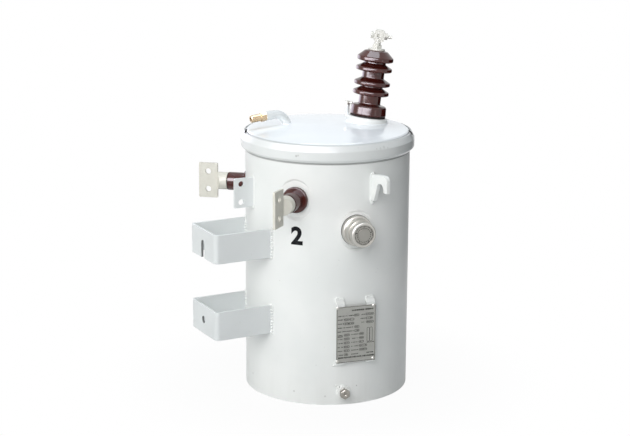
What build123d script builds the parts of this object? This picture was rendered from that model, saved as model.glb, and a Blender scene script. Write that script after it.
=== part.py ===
# Pole mounted transformer: a small single phase distribution transformer in a round tank.
#
# Frame: +Z up, origin at the centre of the tank's underside.  The pole side is -X, so the two
# hangers reach out that way.  The front, with the tap changer and the rating plate, is near -Y.
# Azimuths are degrees about +Z from +X.  All sizes are in millimetres.
from build123d import *
from math import cos, radians, sin, sqrt
import os

# tank
tank_radius = 200.0
tank_wall = 3.0
shell_height = 620.0
base_thickness = 5.0
seat_gap = 0.2            # between a fitting and the curved surface that it is welded to
seat_depth = 3.6          # from the tank's round wall in to the flat seats pressed into it
seat_radius = 44.0
seat_edge_width = 6.5     # the sloping edge round a pressed seat
seat_edge_depth = 4.0

# cover, its gasket and the clamp band round them
cover_thickness = 3.0
cover_gasket_height = 8.0
cover_gasket_inset = 7.0  # from the tank's radius in to the inside of the gasket
cover_edge_inset = 2.0    # from the tank's radius in to the edge of the raised disc
cover_edge_rise = 2.8
cover_edge_width = 4.5
cover_edge_drop = 3.2
cover_edge_rounding = 2.5
cover_ledge_width = 2.1
cover_shoulder_run = 6.4
cover_shoulder_drop = 12.1
cover_skirt_length = 12.0
dome_rise = 11.0
band_wall = 3.0
band_clearance = 0.3
band_side_clearance = 1.0
band_lip_gap = 2.2        # from the edge of the cover's disc out to the band's lip
band_lip_width = 2.4
band_crown_drop = 15.3
band_wall_height = 20.0
band_hook_drop = 7.7
band_hook_gap = 3.0       # from the tank's wall to the outer edge of the hook
band_rounding = 3.5
band_gap = 14.0
band_ear_length = 26.0
band_ear_height = 18.0
band_ear_thickness = 4.0
band_azimuth = 90.0
band_bolt_diameter = 10.0
band_bolt_clearance = 0.5

# high voltage bushing, on an axis that leans outwards
hv_offset = 109.0
hv_azimuth = 0.0
hv_lean = 8.0
hv_boss_radius = 49.5
hv_boss_height = 12.0
hv_gasket_radius = 43.0
hv_gasket_thickness = 4.0
hv_flange_radius = 44.5
hv_flange_height = 25.5
hv_flange_rounding = 7.0
hv_neck_radius = 27.0
hv_shed_radius = 44.5
hv_shed_levels = (57.5, 80.8, 115.8, 140.4)
hv_shed_lip = 8.0
hv_shed_rise = 11.0
hv_height = 160.0
hv_top_radius = 22.0
hv_shank_radius = 23.0
hv_shank_length = 45.0
hv_bore_clearance = 1.5

# terminal on top of the high voltage bushing
cap_radius = 20.5
cap_thickness = 4.0
stud_radius = 8.0
stud_nut_across_flats = 22.0
stud_nut_height = 9.0
eye_turn = -28.0          # azimuth of the clamp bolt
eye_width = 25.5
eye_thickness = 15.0
eye_height = 29.0
eye_rounding = 7.0
eye_rise = 8.0
eye_shift = 2.2           # along the bolt, from the bushing axis to the eye's middle
wire_slot_width = 5.0
wire_slot_height = 14.0
wire_slot_shift = -1.0
clamp_bolt_radius = 4.0
clamp_bolt_head_across_flats = 16.0
clamp_bolt_head_height = 8.0
clamp_bolt_tail = 18.0
clamp_nut_across_flats = 15.0
clamp_nut_height = 7.0

# hold-down beside the high voltage flange
post_radius = 5.0
post_height = 34.0
post_spacing = 17.5       # from the edge of the porcelain's foot flange out to the post
post_bearing = 112.0
post_nut_across_flats = 13.0
post_nut_height = 9.0
claw_radius = 1.8
claw_ball_radius = 3.4
claw_reach = 13.0
claw_rise = 2.5

# breather elbow and pressure relief fitting
vent_radius = 101.0
vent_azimuth = 144.0
vent_heading = 180.0
pipe_radius = 10.2
pipe_wall = 2.8
pipe_bend_radius = 31.0
pipe_bend_sink = 6.0      # from the cover's surface down to the centre of the bend
pipe_droop = 6.0
pipe_tail = 12.0
coupling_radius = 11.3
coupling_length = 15.5
coupling_overlap = 4.0
relief_hex_across_flats = 20.0
relief_hex_length = 13.5
relief_body_radius = 9.0
relief_body_length = 26.0
relief_bore_radius = 4.5
relief_bore_depth = 9.0

# low voltage bushings
lv_spread = 40.0          # each side of the pole side
lv_front_level = 502.0
lv_back_level = 493.0
lv_flange_radius = 31.0
lv_flange_length = 9.6
lv_barrel_radius = 22.5
lv_barrel_length = 41.5
lv_shank_radius = 17.0
lv_shank_length = 30.0
lv_washer_radius = 21.0
lv_washer_length = 2.5
lv_boss_radius = 21.5
lv_boss_length = 18.5
lv_wedge_length = 8.5
spade_length = 48.0
spade_height = 87.5
spade_thickness = 6.5
spade_corner_radius = 2.0
pad_hole_diameter = 14.3
pad_hole_pitch = 44.45

# grounding pad
ground_level = 500.0
ground_reach = 51.0
ground_height = 72.0
ground_thickness = 6.0
ground_hole_inset = 17.5

# hangers
hanger_lower_level = 199.0
hanger_pitch = 188.0
hanger_reach = 334.0      # from the tank's axis to the face that meets the pole
hanger_width = 143.0
hanger_height = 70.0
hanger_thickness = 6.0
hanger_bend_radius = 6.0
pole_bolt_hole_diameter = 17.5

# lifting lugs
lug_azimuth = 94.0        # from the pole side, on both sides
lug_top_level = 566.0
lug_reach = 66.0
lug_inner_height = 66.5
lug_outer_height = 40.0
lug_inner_drop = 4.0      # the top edge rises outwards
lug_outer_rise = 1.5
lug_thickness = 10.0
lug_corner_radius = 14.0
lug_slot_radius = 14.0
lug_slot_offset = 37.0
lug_slot_top = 21.0
lug_slot_flare = 11.0

# tap changer
tap_azimuth = -98.0
tap_level = 430.0
tap_gasket_radius = 37.0
tap_gasket_thickness = 2.0
tap_flange_radius = 36.5
tap_flange_height = 13.0
tap_flange_rounding = 3.0
tap_barrel_radius = 32.5
tap_barrel_height = 20.1
tap_cap_radius = 30.0
tap_cap_height = 19.0
tap_cap_rounding = 3.0
tap_face_radius = 24.0
tap_face_depth = 2.0
tap_dial_radius = 14.5

# rating plate on two strips
plate_azimuth = -98.4
plate_level = 178.5
plate_width = 99.0
plate_height = 139.0
plate_thickness = 1.5
plate_standoff = 8.0      # from the tank to the back of the plate
strip_width = 21.0
strip_thickness = 3.0
strip_inset = 1.0
strip_tab = 4.0
strip_step = 6.0
strip_overhang = 6.0      # above the plate
strip_foot_drop = 4.0     # below it

# drain
drain_azimuth = -106.0
drain_level = 32.0
drain_coupling_radius = 15.0
drain_coupling_reach = 9.0
drain_hex_across_flats = 25.0
drain_hex_length = 13.0
drain_chamfer = 2.5
drain_dimple_radius = 4.0
drain_dimple_depth = 1.5

seat_distance = tank_radius - seat_depth
post_reach = hv_flange_radius + post_spacing
gasket_top = shell_height + cover_gasket_height
ledge_level = gasket_top + seat_gap + cover_thickness
cover_edge_level = ledge_level + cover_edge_rise
cover_edge_radius = tank_radius - cover_edge_inset
shoulder_start = cover_edge_radius + cover_ledge_width
skirt_radius = shoulder_start + cover_shoulder_run
skirt_top = ledge_level - cover_shoulder_drop
dome_radius = cover_edge_radius - cover_edge_width
dome_foot_level = cover_edge_level + cover_edge_drop
dome_sphere_radius = (dome_radius**2 + dome_rise**2) / (2 * dome_rise)
dome_centre_level = dome_foot_level + dome_rise - dome_sphere_radius

os.makedirs("parts", exist_ok=True)


def save(builder, name):
    """Label a finished piece and write it as its own file."""
    builder.part.label = name
    export_step(builder.part, f"parts/{name}.step")


def outward(azimuth, level=0.0):
    """Plane across a radial direction: its Z runs out from the tank's axis and its Y up."""
    turn = radians(azimuth)
    return Plane(origin=(0, 0, level), x_dir=(-sin(turn), cos(turn), 0), z_dir=(cos(turn), sin(turn), 0))


def fin(azimuth, level=0.0):
    """Upright plane through the tank's axis: its X runs outwards and its Y up."""
    turn = radians(azimuth)
    return Plane(origin=(0, 0, level), x_dir=(cos(turn), sin(turn), 0), z_dir=(sin(turn), -cos(turn), 0))


def deck(azimuth, level=0.0):
    """Level plane whose X runs out from the tank's axis."""
    turn = radians(azimuth)
    return Plane(origin=(0, 0, level), x_dir=(cos(turn), sin(turn), 0), z_dir=(0, 0, 1))


def ray(azimuth, level=0.0):
    """Axis that runs straight out from the tank at one level."""
    turn = radians(azimuth)
    return Axis((0, 0, level), (cos(turn), sin(turn), 0))


def dome_level(radius):
    """Height of the cover's outer surface at one radius."""
    return dome_centre_level + sqrt(dome_sphere_radius**2 - radius**2)


def under_shoulder(level):
    """Radius of the inner surface of the cover's sloping shoulder at one height."""
    slope = cover_shoulder_run / cover_shoulder_drop
    return shoulder_start + (ledge_level - level) * slope - cover_thickness * sqrt(1 + slope**2)


def tank_seat(offset):
    """Distance out to the tank's surface along a line that passes the axis at an offset."""
    return sqrt(tank_radius**2 - offset**2)


# ---------------------------------------------------------------- tank

# The wall is pressed flat where each low voltage bushing and the tap changer stand.
seats = (
    (180 + lv_spread, lv_front_level),
    (180 - lv_spread, lv_back_level),
    (tap_azimuth, tap_level),
)

with BuildPart() as tank_shell:
    with BuildSketch(Plane.XY):
        Circle(tank_radius)
        Circle(tank_radius - tank_wall, mode=Mode.SUBTRACT)
    extrude(amount=shell_height)
    for azimuth, level in seats:
        line = ray(azimuth, level)
        with BuildSketch(fin(azimuth, level)):
            Polygon(
                (seat_distance, 0),
                (seat_distance, seat_radius),
                (seat_distance - seat_edge_depth, seat_radius + seat_edge_width),
                (seat_distance - seat_edge_depth - tank_wall, seat_radius + seat_edge_width - tank_wall),
                (seat_distance - tank_wall, seat_radius - tank_wall),
                (seat_distance - tank_wall, 0),
                align=None,
            )
        revolve(axis=line)
        with BuildSketch(fin(azimuth, level)):
            Polygon(
                (seat_distance, 0),
                (seat_distance, seat_radius),
                (seat_distance + seat_edge_depth, seat_radius + seat_edge_width),
                (seat_distance + seat_edge_depth, 0),
                align=None,
            )
        revolve(axis=line, mode=Mode.SUBTRACT)
    with BuildSketch(Plane.XY):
        Circle(tank_radius)
        Circle(seat_distance - tank_wall, mode=Mode.SUBTRACT)
    extrude(amount=shell_height, mode=Mode.INTERSECT)
    for azimuth, level in seats[:2]:
        with BuildSketch(outward(azimuth, level)):
            Circle(lv_shank_radius + seat_gap)
        extrude(amount=2 * tank_radius, mode=Mode.SUBTRACT)
save(tank_shell, "tank_shell")

with BuildPart() as tank_base:
    with BuildSketch(Plane.XY):
        Circle(tank_radius - tank_wall - seat_gap)
    extrude(amount=base_thickness)
save(tank_base, "tank_base")

# ---------------------------------------------------------------- cover

hv_foot = Vector(
    hv_offset * cos(radians(hv_azimuth)),
    hv_offset * sin(radians(hv_azimuth)),
    dome_level(hv_offset),
)
hv_axis_direction = Vector(0, 0, 1).rotate(Axis.Y, hv_lean).rotate(Axis.Z, hv_azimuth)
hv_side_direction = Vector(1, 0, 0).rotate(Axis.Y, hv_lean).rotate(Axis.Z, hv_azimuth)
hv_axis = Axis(hv_foot, hv_axis_direction)
hv_bore_radius = hv_shank_radius + hv_bore_clearance

vent_foot = Vector(
    vent_radius * cos(radians(vent_azimuth)),
    vent_radius * sin(radians(vent_azimuth)),
    dome_level(vent_radius),
)


def hv_plane(rise):
    """Plane across the leaning bushing axis, at one distance above the cover."""
    return Plane(origin=hv_foot + hv_axis_direction * rise, x_dir=hv_side_direction, z_dir=hv_axis_direction)


def hv_section(rise):
    """Plane along the bushing axis: its X is the radius from the axis and its Y the axis."""
    normal = hv_side_direction.cross(hv_axis_direction)
    return Plane(origin=hv_foot + hv_axis_direction * rise, x_dir=hv_side_direction, z_dir=normal)


with BuildPart() as cover:
    with BuildSketch(Plane.XZ):
        half = dome_radius / 2
        with BuildLine():
            ThreePointArc(
                (0, dome_foot_level + dome_rise),
                (half, dome_level(half)),
                (dome_radius, dome_foot_level),
            )
            Polyline(
                (dome_radius, dome_foot_level),
                (cover_edge_radius, cover_edge_level),
                (cover_edge_radius, ledge_level),
                (shoulder_start, ledge_level),
                (skirt_radius, skirt_top),
                (skirt_radius, skirt_top - cover_skirt_length),
            )
            offset(amount=cover_thickness, side=Side.RIGHT, kind=Kind.INTERSECTION)
        make_face()
        edge = vertices().filter_by_position(Axis.X, cover_edge_radius - 0.01, cover_edge_radius + 0.01)
        fillet(edge.sort_by(Axis.Y)[-1], radius=cover_edge_rounding)
    revolve(axis=Axis.Z)
    with BuildSketch(hv_plane(-hv_shank_length)):
        Circle(hv_bore_radius)
    extrude(amount=2 * hv_shank_length, mode=Mode.SUBTRACT)
    with BuildSketch(Plane(vent_foot)):
        Circle(pipe_radius - pipe_wall)
    extrude(amount=2 * pipe_bend_radius, both=True, mode=Mode.SUBTRACT)
save(cover, "cover")

# The gasket is a moulded ring whose outer face follows the shoulder above it.
with BuildPart() as cover_gasket:
    with BuildSketch(Plane.XZ):
        Polygon(
            (tank_radius - cover_gasket_inset, shell_height),
            (under_shoulder(shell_height) - seat_gap, shell_height),
            (under_shoulder(gasket_top) - seat_gap, gasket_top),
            (tank_radius - cover_gasket_inset, gasket_top),
            align=None,
        )
    revolve(axis=Axis.Z)
save(cover_gasket, "cover_gasket")

# The band is bent from flat strip: a lip on the cover's ledge, a sloping crown over its
# shoulder, an upright wall outside the skirt and a hook that turns in below, towards the tank.
band_outer_radius = skirt_radius + band_side_clearance + band_wall
band_inner_radius = band_outer_radius - band_wall
band_crown = ledge_level + band_clearance + band_wall
band_lip_radius = cover_edge_radius + band_lip_gap
band_shoulder = band_crown - band_crown_drop
band_waist = band_shoulder - band_wall_height
band_bolt_level = (band_shoulder + band_waist) / 2

with BuildPart() as cover_band:
    with BuildSketch(Plane.XZ):
        with BuildLine():
            FilletPolyline(
                (band_lip_radius, band_crown),
                (band_lip_radius + band_lip_width, band_crown),
                (band_outer_radius, band_shoulder),
                (band_outer_radius, band_waist),
                (tank_radius + band_hook_gap, band_waist - band_hook_drop),
                radius=band_rounding,
            )
            offset(amount=band_wall, side=Side.RIGHT)
        make_face()
    revolve(axis=Axis.Z)
    ear_plane = fin(band_azimuth, band_bolt_level)
    with BuildSketch(ear_plane):
        with Locations((band_outer_radius + band_ear_length / 2 - band_wall / 2, 0)):
            RectangleRounded(band_ear_length + band_wall, band_ear_height, 3 * band_wall / 2)
        with Locations((band_inner_radius, 0)):
            Rectangle(2 * band_clearance, band_ear_height, mode=Mode.SUBTRACT)
    extrude(amount=band_gap / 2 + band_ear_thickness, both=True)
    with BuildSketch(ear_plane):
        with Locations((tank_radius + band_ear_length / 2, 0)):
            Rectangle(3 * band_ear_length, 4 * band_wall_height)
    extrude(amount=band_gap / 2, both=True, mode=Mode.SUBTRACT)
    with BuildSketch(ear_plane):
        with Locations((band_outer_radius + band_ear_length / 2, 0)):
            Circle(band_bolt_diameter / 2 + band_bolt_clearance)
    extrude(amount=band_gap + 2 * band_ear_thickness, both=True, mode=Mode.SUBTRACT)
save(cover_band, "cover_band")

with BuildPart() as band_bolt:
    bolt_reach = band_gap / 2 + band_ear_thickness
    bolt_centre = (band_outer_radius + band_ear_length / 2, 0)
    with BuildSketch(fin(band_azimuth, band_bolt_level)):
        with Locations(bolt_centre):
            Circle(band_bolt_diameter / 2)
    extrude(amount=bolt_reach + band_bolt_diameter, both=True)
    for side in (-1, 1):
        with BuildSketch(fin(band_azimuth, band_bolt_level).offset(side * bolt_reach)):
            with Locations(bolt_centre):
                RegularPolygon(band_bolt_diameter * 0.85, 6, major_radius=False)
        extrude(amount=side * band_bolt_diameter * 0.7)
save(band_bolt, "band_bolt")

# ---------------------------------------------------------------- high voltage bushing

with BuildPart() as hv_boss:
    with BuildSketch(hv_plane(-hv_boss_height)):
        Circle(hv_boss_radius)
        Circle(hv_bore_radius, mode=Mode.SUBTRACT)
    extrude(amount=2 * hv_boss_height)
    top_edges = faces().sort_by(hv_axis)[-1].edges().sort_by(SortBy.LENGTH)
    fillet(top_edges[-1], radius=hv_boss_height / 4)
    with Locations((0, 0, dome_centre_level)):
        Sphere(dome_sphere_radius + seat_gap, mode=Mode.SUBTRACT)
save(hv_boss, "hv_boss")

with BuildPart() as hv_gasket:
    with BuildSketch(hv_plane(hv_boss_height)):
        Circle(hv_gasket_radius)
        Circle(hv_bore_radius, mode=Mode.SUBTRACT)
    extrude(amount=hv_gasket_thickness)
save(hv_gasket, "hv_gasket")

hv_seat = hv_boss_height + hv_gasket_thickness

with BuildPart() as hv_porcelain:
    with BuildSketch(hv_section(hv_seat)):
        with Locations((hv_flange_radius / 2, hv_flange_height / 2)):
            Rectangle(hv_flange_radius, hv_flange_height)
        fillet(vertices().group_by(Axis.X)[-1], radius=hv_flange_rounding)
        with BuildLine():
            Polyline(
                (0, -hv_shank_length),
                (hv_shank_radius, -hv_shank_length),
                (hv_shank_radius, 0),
                (hv_neck_radius, hv_flange_height / 2),
                (hv_neck_radius, hv_shed_levels[-1]),
                (hv_top_radius, hv_height),
                (0, hv_height),
                close=True,
            )
        make_face()
        for level in hv_shed_levels:
            top_shed = level == hv_shed_levels[-1]
            inner_radius = hv_top_radius if top_shed else hv_neck_radius
            rise = hv_height - level if top_shed else hv_shed_rise
            with BuildLine():
                Polyline(
                    (0, level - hv_shed_lip / 4),
                    (hv_neck_radius, level - hv_shed_lip / 4),
                    (hv_shed_radius - hv_shed_lip, level - hv_shed_lip),
                    (hv_shed_radius, level - hv_shed_lip),
                    (hv_shed_radius, level + hv_shed_lip / 4),
                    (inner_radius, level + rise),
                    (0, level + rise),
                    close=True,
                )
            make_face()
        lips = vertices().filter_by_position(Axis.X, hv_shed_radius - 0.01, hv_shed_radius + 0.01)
        fillet(lips.filter_by(lambda v: v.Y > hv_flange_height), radius=hv_shed_lip * 0.45)
    revolve(axis=Axis(hv_section(hv_seat).origin, hv_axis_direction))
save(hv_porcelain, "hv_porcelain")

# Terminal: a cap, a stud with its nut, and an eye that a bolt closes on the wire.
cap_level = hv_seat + hv_height
stud_level = cap_level + cap_thickness
eye_level = stud_level + stud_nut_height + eye_rise
clamp_level = eye_level + eye_height / 2
eye_left = eye_shift - eye_width / 2
eye_right = eye_shift + eye_width / 2


def terminal_plane(level):
    """Plane across the bushing axis, turned so that its X follows the clamp bolt."""
    return hv_plane(level).rotated((0, 0, eye_turn - hv_azimuth))


def clamp_plane(offset):
    """Plane across the clamp bolt, at one distance along it from the bushing axis."""
    centre = terminal_plane(clamp_level)
    return Plane(origin=centre.origin + centre.x_dir * offset, x_dir=centre.y_dir, z_dir=centre.x_dir)


with BuildPart() as hv_terminal_cap:
    with BuildSketch(hv_plane(cap_level)):
        Circle(cap_radius)
    extrude(amount=cap_thickness)
    chamfer(edges().group_by(hv_axis)[-1], length=cap_thickness / 4)
save(hv_terminal_cap, "hv_terminal_cap")

with BuildPart() as hv_stud_nut:
    with BuildSketch(hv_plane(stud_level)):
        RegularPolygon(stud_nut_across_flats / 2, 6, major_radius=False)
        Circle(stud_radius, mode=Mode.SUBTRACT)
    extrude(amount=stud_nut_height)
save(hv_stud_nut, "hv_stud_nut")

def wire_plane():
    """Plane through the eye: its X follows the clamp bolt and its Y the bushing axis."""
    centre = terminal_plane(clamp_level)
    return Plane(origin=centre.origin, x_dir=centre.x_dir, z_dir=-centre.y_dir)


with BuildPart() as hv_eye:
    with BuildSketch(hv_plane(stud_level)):
        Circle(stud_radius - seat_gap)
    extrude(amount=stud_nut_height + eye_rise + eye_rounding)
    with BuildSketch(wire_plane()):
        with Locations((eye_shift, 0)):
            RectangleRounded(eye_width, eye_height, eye_rounding)
    extrude(amount=eye_thickness / 2, both=True)
    with BuildSketch(wire_plane()):
        with Locations((wire_slot_shift, 0)):
            SlotOverall(wire_slot_height, wire_slot_width, rotation=90)
    extrude(amount=eye_thickness, both=True, mode=Mode.SUBTRACT)
    with BuildSketch(clamp_plane(eye_left)):
        Circle(clamp_bolt_radius + seat_gap)
    extrude(amount=eye_width, mode=Mode.SUBTRACT)
save(hv_eye, "hv_eye")

with BuildPart() as hv_clamp_bolt:
    with BuildSketch(clamp_plane(eye_left)):
        RegularPolygon(clamp_bolt_head_across_flats / 2, 6, major_radius=False)
    extrude(amount=-clamp_bolt_head_height)
    with BuildSketch(clamp_plane(eye_left)):
        Circle(clamp_bolt_radius)
    extrude(amount=eye_width + clamp_bolt_tail)
save(hv_clamp_bolt, "hv_clamp_bolt")

with BuildPart() as hv_clamp_nut:
    with BuildSketch(clamp_plane(eye_right)):
        RegularPolygon(clamp_nut_across_flats / 2, 6, major_radius=False)
        Circle(clamp_bolt_radius + seat_gap, mode=Mode.SUBTRACT)
    extrude(amount=clamp_nut_height)
save(hv_clamp_nut, "hv_clamp_nut")

# Hold-down: a post on the cover with a nut and a bent claw beside the porcelain flange.
post_turn = radians(post_bearing)
post_x = hv_foot.X + post_reach * cos(post_turn)
post_y = hv_foot.Y + post_reach * sin(post_turn)
post_foot = Vector(post_x, post_y, dome_level(sqrt(post_x**2 + post_y**2)))

with BuildPart() as hv_post:
    with BuildSketch(Plane(post_foot).offset(-post_radius)):
        Circle(post_radius)
    extrude(amount=post_height + post_radius)
    with Locations((0, 0, dome_centre_level)):
        Sphere(dome_sphere_radius + seat_gap, mode=Mode.SUBTRACT)
save(hv_post, "hv_post")

claw_side = Vector(hv_foot.X - post_foot.X, hv_foot.Y - post_foot.Y, 0).normalized()
claw_root = post_foot + Vector(0, 0, post_height + post_nut_height / 2)

with BuildPart() as hv_post_nut:
    with BuildSketch(Plane(post_foot).offset(post_height)):
        RegularPolygon(post_nut_across_flats / 2, 6, major_radius=False)
    extrude(amount=post_nut_height)
    with BuildLine():
        claw_path = Line(claw_root, claw_root + claw_side * claw_reach + Vector(0, 0, claw_rise))
    with BuildSketch(Plane(origin=claw_path @ 0, z_dir=claw_path % 0)):
        Circle(claw_radius)
    sweep()
    with Locations(claw_path @ 1):
        Sphere(claw_ball_radius)
save(hv_post_nut, "hv_post_nut")

# ---------------------------------------------------------------- breather elbow and relief fitting

heading = Vector(cos(radians(vent_heading)), sin(radians(vent_heading)), 0)
bend_run = sqrt(pipe_bend_radius**2 - pipe_bend_sink**2)
bend_centre = vent_foot + heading * bend_run - Vector(0, 0, pipe_bend_sink)


def bend_point(angle):
    """Point of the elbow's centre line, from 0 at the riser round over the top."""
    turn = radians(angle)
    return bend_centre - heading * pipe_bend_radius * cos(turn) + Vector(0, 0, pipe_bend_radius * sin(turn))


bend_angle = 90 + pipe_droop
bend_end = bend_point(bend_angle)
pipe_direction = heading * cos(radians(pipe_droop)) - Vector(0, 0, sin(radians(pipe_droop)))


def pipe_plane(distance):
    """Plane across the drooping end of the pipe, at one distance past the bend."""
    return Plane(origin=bend_end + pipe_direction * distance, z_dir=pipe_direction)


coupling_start = pipe_tail - coupling_overlap
relief_start = coupling_start + coupling_length

with BuildPart() as vent_elbow:
    with BuildLine():
        bend = ThreePointArc(bend_point(0), bend_point(bend_angle / 2), bend_end)
        Line(bend_end, bend_end + pipe_direction * pipe_tail)
    with BuildSketch(Plane(origin=bend @ 0)):
        Circle(pipe_radius)
        Circle(pipe_radius - pipe_wall, mode=Mode.SUBTRACT)
    sweep()
    with Locations((0, 0, dome_centre_level)):
        Sphere(dome_sphere_radius + seat_gap, mode=Mode.SUBTRACT)
save(vent_elbow, "vent_elbow")

with BuildPart() as vent_coupling:
    with BuildSketch(pipe_plane(coupling_start)):
        Circle(coupling_radius)
    extrude(amount=coupling_length)
    chamfer(edges().filter_by(GeomType.CIRCLE), length=pipe_wall / 3)
    with BuildSketch(pipe_plane(coupling_start)):
        Circle(pipe_radius + seat_gap)
    extrude(amount=coupling_overlap + seat_gap, mode=Mode.SUBTRACT)
save(vent_coupling, "vent_coupling")

with BuildPart() as relief_nut:
    with BuildSketch(pipe_plane(relief_start)):
        RegularPolygon(relief_hex_across_flats / 2, 6, major_radius=False)
    extrude(amount=relief_hex_length)
save(relief_nut, "relief_nut")

with BuildPart() as relief_valve:
    with BuildSketch(pipe_plane(relief_start + relief_hex_length)):
        Circle(relief_body_radius)
    extrude(amount=relief_body_length)
    chamfer(edges().sort_by(Axis(bend_end, pipe_direction))[-1], length=relief_body_radius / 8)
    with BuildSketch(pipe_plane(relief_start + relief_hex_length + relief_body_length - relief_bore_depth)):
        Circle(relief_bore_radius)
    extrude(amount=relief_bore_depth, mode=Mode.SUBTRACT)
save(relief_valve, "relief_valve")

# ---------------------------------------------------------------- low voltage bushings

lv_barrel_start = seat_distance + lv_flange_length
lv_washer_start = lv_barrel_start + lv_barrel_length
lv_boss_start = lv_washer_start + lv_washer_length
lv_wedge_start = lv_boss_start + lv_boss_length
spade_start = lv_wedge_start + lv_wedge_length

for name, (azimuth, level) in zip(("front", "back"), seats):
    line = ray(azimuth, level)

    with BuildPart() as lv_porcelain:
        with BuildSketch(fin(azimuth, level)):
            with BuildLine():
                Polyline(
                    (seat_distance - lv_shank_length, 0),
                    (seat_distance - lv_shank_length, lv_shank_radius),
                    (seat_distance, lv_shank_radius),
                    (seat_distance, lv_flange_radius),
                    (lv_barrel_start, lv_flange_radius),
                    (lv_barrel_start, lv_barrel_radius),
                    (lv_washer_start, lv_barrel_radius),
                    (lv_washer_start, 0),
                    close=True,
                )
            make_face()
            rim = vertices().filter_by_position(Axis.Y, lv_flange_radius - 0.01, lv_flange_radius + 0.01)
            fillet(rim, radius=lv_flange_length / 4)
        revolve(axis=line)
    save(lv_porcelain, f"lv_porcelain_{name}")

    with BuildPart() as lv_washer:
        with BuildSketch(outward(azimuth, level).offset(lv_washer_start)):
            Circle(lv_washer_radius)
        extrude(amount=lv_washer_length)
    save(lv_washer, f"lv_washer_{name}")

    with BuildPart() as lv_terminal:
        with BuildSketch(outward(azimuth, level).offset(lv_boss_start)):
            Circle(lv_boss_radius)
        extrude(amount=lv_boss_length + lv_wedge_length)
        with BuildSketch(deck(azimuth, level)):
            Polygon(
                (lv_wedge_start, lv_boss_radius),
                (spade_start, spade_thickness / 2),
                (spade_start, lv_boss_radius),
                align=None,
            )
            mirror(about=Plane.XZ)
        extrude(amount=lv_boss_radius, both=True, mode=Mode.SUBTRACT)
        with BuildSketch(fin(azimuth, level)):
            with Locations((spade_start + spade_length / 2, 0)):
                RectangleRounded(spade_length, spade_height, spade_corner_radius)
        extrude(amount=spade_thickness / 2, both=True)
        with BuildSketch(fin(azimuth, level)):
            with Locations((spade_start + spade_length / 2, 0)):
                with GridLocations(0, pad_hole_pitch, 1, 2):
                    Circle(pad_hole_diameter / 2)
        extrude(amount=spade_thickness, both=True, mode=Mode.SUBTRACT)
    save(lv_terminal, f"lv_terminal_{name}")

# ---------------------------------------------------------------- grounding pad and hangers

with BuildPart() as ground_pad:
    pad_plane = fin(180, ground_level)
    with BuildSketch(pad_plane):
        with Locations((tank_radius + seat_gap + ground_reach / 2, 0)):
            RectangleRounded(ground_reach, ground_height, spade_corner_radius)
        with Locations((tank_radius + ground_reach - ground_hole_inset, 0)):
            with GridLocations(0, pad_hole_pitch, 1, 2):
                Circle(pad_hole_diameter / 2, mode=Mode.SUBTRACT)
    extrude(amount=ground_thickness / 2, both=True)
save(ground_pad, "ground_pad")

for name, level in (("lower", hanger_lower_level), ("upper", hanger_lower_level + hanger_pitch)):
    with BuildPart() as hanger:
        half_width = hanger_width / 2
        with BuildSketch(Plane.XY.offset(level)):
            with BuildLine():
                FilletPolyline(
                    (-tank_seat(half_width) + tank_wall, half_width),
                    (-hanger_reach, half_width),
                    (-hanger_reach, -half_width),
                    (-tank_seat(half_width) + tank_wall, -half_width),
                    radius=hanger_bend_radius + hanger_thickness,
                )
                offset(amount=hanger_thickness, side=Side.LEFT)
            make_face()
        extrude(amount=hanger_height / 2, both=True)
        with BuildSketch(Plane.XY.offset(level - hanger_height)):
            Circle(tank_radius + seat_gap)
        extrude(amount=2 * hanger_height, mode=Mode.SUBTRACT)
        with BuildSketch(outward(180, level)):
            Circle(pole_bolt_hole_diameter / 2)
            if name == "upper":
                with Locations((0, -hanger_height / 2)):
                    Rectangle(pole_bolt_hole_diameter, hanger_height)
        extrude(amount=hanger_reach + hanger_thickness, mode=Mode.SUBTRACT)
    save(hanger, f"hanger_{name}")

# ---------------------------------------------------------------- lifting lugs

for name, side in (("front", 1), ("back", -1)):
    with BuildPart() as lifting_lug:
        inner = tank_radius + seat_gap
        slot_centre = tank_radius + lug_slot_offset
        slot_spring = -lug_slot_top - lug_slot_radius
        with BuildSketch(fin(180 + side * lug_azimuth, lug_top_level)):
            with BuildLine():
                Polyline(
                    (slot_centre - lug_slot_radius - lug_slot_flare, -lug_inner_height),
                    (inner, -lug_inner_height),
                    (inner, -lug_inner_drop),
                    (tank_radius + lug_reach, lug_outer_rise),
                    (tank_radius + lug_reach, -lug_outer_height),
                    (slot_centre + lug_slot_radius, -lug_outer_height),
                    (slot_centre + lug_slot_radius, slot_spring),
                )
                ThreePointArc(
                    (slot_centre + lug_slot_radius, slot_spring),
                    (slot_centre, -lug_slot_top),
                    (slot_centre - lug_slot_radius, slot_spring),
                )
                Line(
                    (slot_centre - lug_slot_radius, slot_spring),
                    (slot_centre - lug_slot_radius - lug_slot_flare, -lug_inner_height),
                )
            make_face()
            fillet(vertices().sort_by(Axis.Y)[-1], radius=lug_corner_radius)
        extrude(amount=lug_thickness / 2, both=True)
    save(lifting_lug, f"lifting_lug_{name}")

# ---------------------------------------------------------------- tap changer

tap_flange_start = seat_distance + tap_gasket_thickness
tap_barrel_start = tap_flange_start + tap_flange_height
tap_cap_start = tap_barrel_start + tap_barrel_height
tap_ray = ray(tap_azimuth, tap_level)

with BuildPart() as tap_gasket:
    with BuildSketch(outward(tap_azimuth, tap_level).offset(seat_distance)):
        Circle(tap_gasket_radius)
    extrude(amount=tap_gasket_thickness)
save(tap_gasket, "tap_gasket")

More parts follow.
